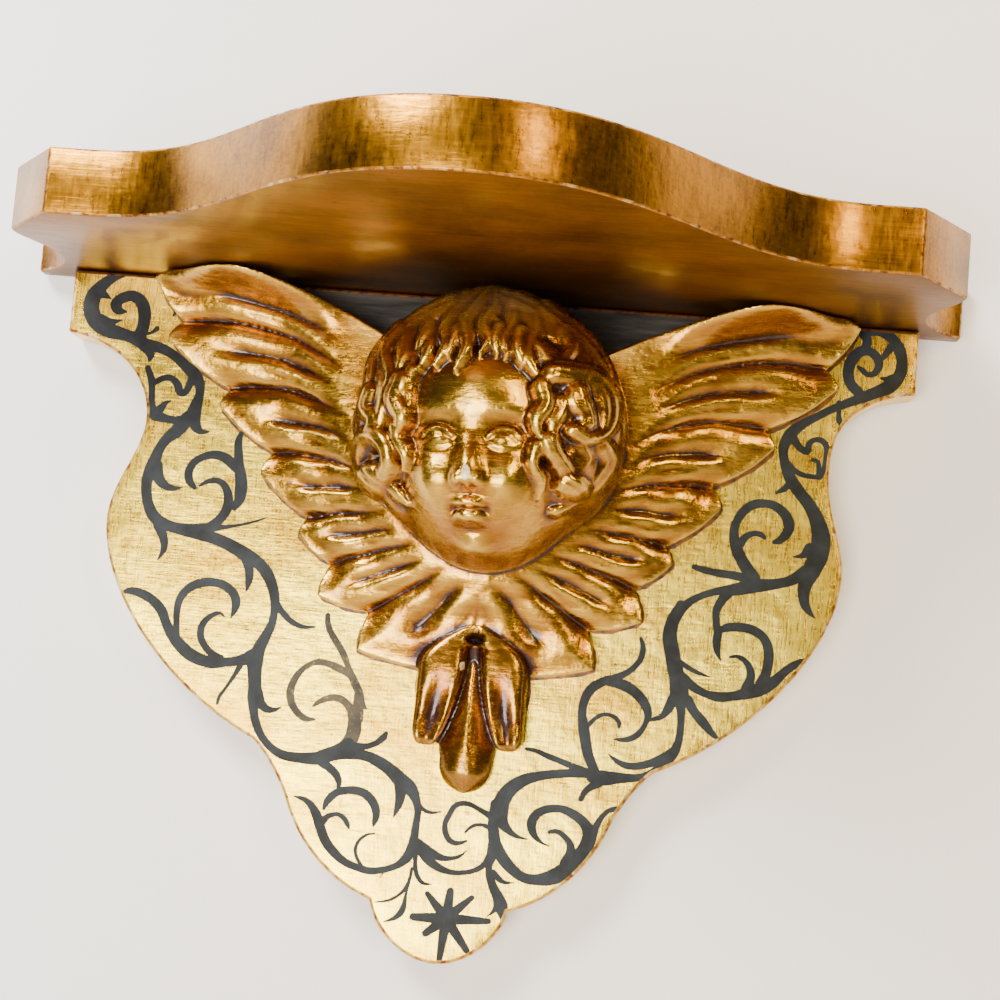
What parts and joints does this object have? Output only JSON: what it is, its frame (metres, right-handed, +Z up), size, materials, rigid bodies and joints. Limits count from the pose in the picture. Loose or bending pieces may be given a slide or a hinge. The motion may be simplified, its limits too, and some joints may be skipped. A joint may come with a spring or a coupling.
{
  "type": "angel figure corbel",
  "caption": "Wall bracket with a serpentine shelf board, a shaped and painted backboard and a carved winged child's head with a small petalled pendant, all gilded.",
  "frame": {"origin": "on the wall face of the backboard, on its centre line, 30 mm below the underside of the shelf", "axes": "+X to the right seen from the front, -Y out of the wall towards the room, +Z up"},
  "size_m": [0.305, 0.167, 0.233],
  "materials": {
    "gilded_shelf": "gold leaf over reddish bole on wood, burnished, brushed and a little worn",
    "painted_gilded_panel": "pale gold leaf on wood with hand-painted charcoal scrolls",
    "glazed_gilded_carving": "gold leaf on carved wood with a warm amber glaze, dark red-brown in the recesses"
  },
  "bodies": {
    "root": {"shelf": "gilded_shelf", "backboard": "painted_gilded_panel", "angel_carving": "glazed_gilded_carving"}
  },
  "joints": []
}
